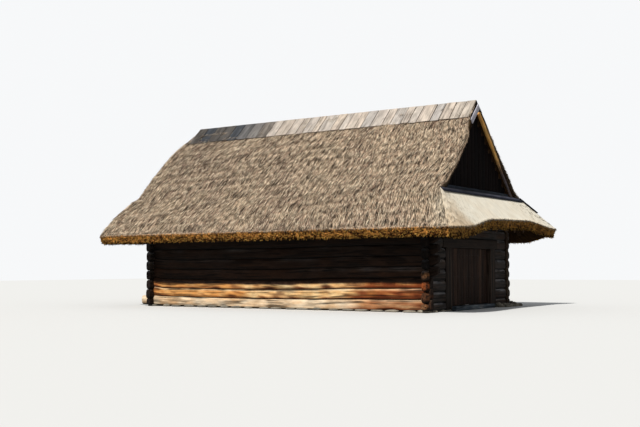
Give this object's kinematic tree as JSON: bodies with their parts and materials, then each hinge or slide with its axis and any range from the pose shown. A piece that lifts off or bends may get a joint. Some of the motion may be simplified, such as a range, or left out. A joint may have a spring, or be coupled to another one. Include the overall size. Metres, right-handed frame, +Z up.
{
  "type": "thatched log granary",
  "caption": "Long log granary with notched corners, a double plank door in the gable, and a steep thatched roof with boarded ridge, gables and thatched skirts.",
  "frame": {"origin": "on the ground at the middle of the building's plan", "axes": "+X along the ridge to the door gable, +Z up, -Y the long front wall"},
  "size_m": [15.56, 9.78, 7.592],
  "materials": {
    "field_stone": "rough",
    "pale_sill_log": "weathered hewn",
    "front_log": "weathered hewn",
    "grey_log": "weathered hewn",
    "dark_log": "weathered hewn",
    "threshold_plank": "worn",
    "door_frame": "weathered hewn",
    "door_plank": "weathered sawn",
    "roof_timber": "hewn",
    "batten": "split",
    "weathered_thatch": "weathered straw",
    "pale_thatch": "sun bleached straw",
    "ridge_board": "silvered sawn",
    "gable_board": "dark sawn",
    "weathered_plank": "silvered"
  },
  "bodies": {
    "building": {"footing_stones": "field_stone", "front_sill_log": "pale_sill_log", "front_odd_logs": "front_log", "front_even_logs": "front_log", "front_wall_plate": "dark_log", "rear_sill_log": "pale_sill_log", "rear_odd_logs": "front_log", "rear_even_logs": "front_log", "rear_wall_plate": "dark_log", "left_gable_odd_logs": "grey_log", "left_gable_even_logs": "grey_log", "door_wall_front_stub": "grey_log", "door_wall_rear_stub": "grey_log", "door_wall_upper_logs": "dark_log", "left_gable_top_logs": "dark_log", "right_gable_top_logs": "dark_log", "door_threshold": "threshold_plank", "left_door_jamb": "door_frame", "right_door_jamb": "door_frame", "door_lintel": "door_frame", "tie_beams": "roof_timber", "front_rafters": "roof_timber", "rear_rafters": "roof_timber", "collar_ties": "roof_timber", "hip_rafters": "roof_timber", "left_skirt_rafters": "roof_timber", "right_skirt_rafters": "roof_timber", "front_battens": "batten", "rear_battens": "batten", "left_skirt_battens": "batten", "right_skirt_battens": "batten", "front_thatch": "weathered_thatch", "rear_thatch": "weathered_thatch", "left_skirt_thatch": "pale_thatch", "right_skirt_thatch": "pale_thatch", "front_ridge_boards": "ridge_board", "rear_ridge_boards": "ridge_board", "left_gable_boards": "gable_board", "right_gable_boards": "gable_board", "left_skirt_planks": "weathered_plank", "right_skirt_planks": "weathered_plank"},
    "left_leaf": {"left_door_leaf": "door_plank"},
    "right_leaf": {"right_door_leaf": "door_plank"}
  },
  "joints": [
    {"name": "left_door_pivot", "type": "hinge", "parent": "building", "child": "left_leaf", "pos_m": [6.085, -1.645, 1.15], "axis": [0, 0, -1], "range_deg": [0, 90]},
    {"name": "right_door_pivot", "type": "hinge", "parent": "building", "child": "right_leaf", "pos_m": [6.085, 1.645, 1.15], "axis": [0, 0, 1], "range_deg": [0, 90]}
  ]
}
